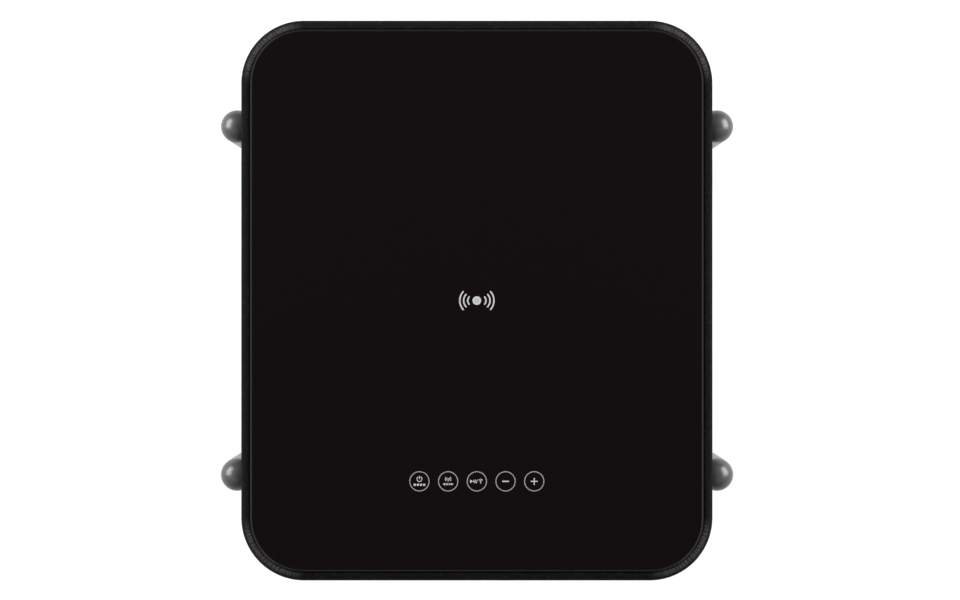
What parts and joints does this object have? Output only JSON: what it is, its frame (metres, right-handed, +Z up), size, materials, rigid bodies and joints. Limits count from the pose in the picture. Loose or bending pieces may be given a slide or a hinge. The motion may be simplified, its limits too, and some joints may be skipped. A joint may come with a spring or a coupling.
{
  "type": "side table subwoofer",
  "caption": "Cloth-wrapped side-table subwoofer with a glass touch top, down-firing woofer, side drivers and four round posts for legs.",
  "frame": {"origin": "on the floor, under the middle of the box", "axes": "+Z up; -Y is the front, where the touch keys are; +X is to the right of a user who faces the front"},
  "size_m": [0.3848, 0.392, 0.5],
  "materials": {
    "glass": "polished black-backed tempered glass",
    "foam": "closed-cell foam",
    "black_plastic": "fine-textured moulded plastic",
    "circuit_board": "solder mask over glass fibre",
    "copper": "enamelled copper wire",
    "ferrite": "sintered ferrite",
    "fibreboard": "medium-density fibreboard",
    "base_paint": "black-painted fibreboard",
    "cloth": "charcoal woven wrap",
    "black_steel": "black powder coat",
    "rubber": "matte moulded rubber",
    "cone": "pressed fibre",
    "spider_cloth": "resin-dipped cotton",
    "steel": "zinc-plated",
    "lead_sleeve": "pvc sleeve",
    "aluminium": "extruded",
    "lacquered_wood": "graphite satin lacquer over turned hardwood"
  },
  "bodies": {
    "cabinet": {"glass_top": "glass", "glass_tape": "foam", "top_tray": "black_plastic", "touch_board": "circuit_board", "charging_coil": "copper", "ferrite_plate": "ferrite", "charger_board": "circuit_board", "top_board": "fibreboard", "cabinet_wall": "fibreboard", "grille_cloth": "cloth", "base_board": "base_paint", "bottom_trim": "black_plastic", "woofer_basket": "black_steel", "woofer_gasket": "foam", "woofer_surround": "rubber", "spider": "spider_cloth", "magnet_top_plate": "steel", "magnet_ring": "ferrite", "pole_yoke": "steel", "woofer_guard": "black_steel", "port_tube": "black_plastic", "rear_panel": "black_plastic", "dc_jack": "black_plastic", "aux_jack": "black_plastic", "usb_port": "steel", "rocker_frame": "black_plastic", "amp_board": "circuit_board", "heat_sink": "aluminium", "bulk_capacitor": "aluminium", "radio_module": "steel", "woofer_lead": "lead_sleeve", "touch_lead": "lead_sleeve", "left_driver_basket": "black_steel", "left_driver_surround": "rubber", "left_driver_motor": "steel", "right_driver_basket": "black_steel", "right_driver_surround": "rubber", "right_driver_motor": "steel", "front_left_leg": "lacquered_wood", "front_left_leg_saddle": "black_plastic", "front_left_leg_bolt": "steel", "front_left_foot_glide": "rubber", "front_right_leg": "lacquered_wood", "front_right_leg_saddle": "black_plastic", "front_right_leg_bolt": "steel", "front_right_foot_glide": "rubber", "rear_left_leg": "lacquered_wood", "rear_left_leg_saddle": "black_plastic", "rear_left_leg_bolt": "steel", "rear_left_foot_glide": "rubber", "rear_right_leg": "lacquered_wood", "rear_right_leg_saddle": "black_plastic", "rear_right_leg_bolt": "steel", "rear_right_foot_glide": "rubber"},
    "woofer_moving": {"woofer_cone": "cone", "dust_cap": "cone", "voice_coil": "copper"},
    "left_cone": {"left_driver_cone": "cone"},
    "right_cone": {"right_driver_cone": "cone"},
    "rocker": {"power_rocker": "black_plastic"}
  },
  "joints": [
    {"name": "woofer_travel", "type": "slide", "parent": "cabinet", "child": "woofer_moving", "axis": [0, 0, -1], "range_m": [-0.006, 0.006], "stiffness_N_per_m": 2000, "deforming": ["woofer_surround", "spider"]},
    {"name": "left_cone_travel", "type": "slide", "parent": "cabinet", "child": "left_cone", "axis": [-1, 0, 0], "range_m": [-0.002, 0.002], "stiffness_N_per_m": 900, "deforming": ["left_driver_surround"]},
    {"name": "right_cone_travel", "type": "slide", "parent": "cabinet", "child": "right_cone", "axis": [1, 0, 0], "range_m": [-0.002, 0.002], "stiffness_N_per_m": 900, "deforming": ["right_driver_surround"]},
    {"name": "rocker_tilt", "type": "hinge", "parent": "cabinet", "child": "rocker", "pos_m": [-0.04, 0.188, 0.4], "axis": [1, 0, 0], "range_deg": [-16, 0]}
  ]
}
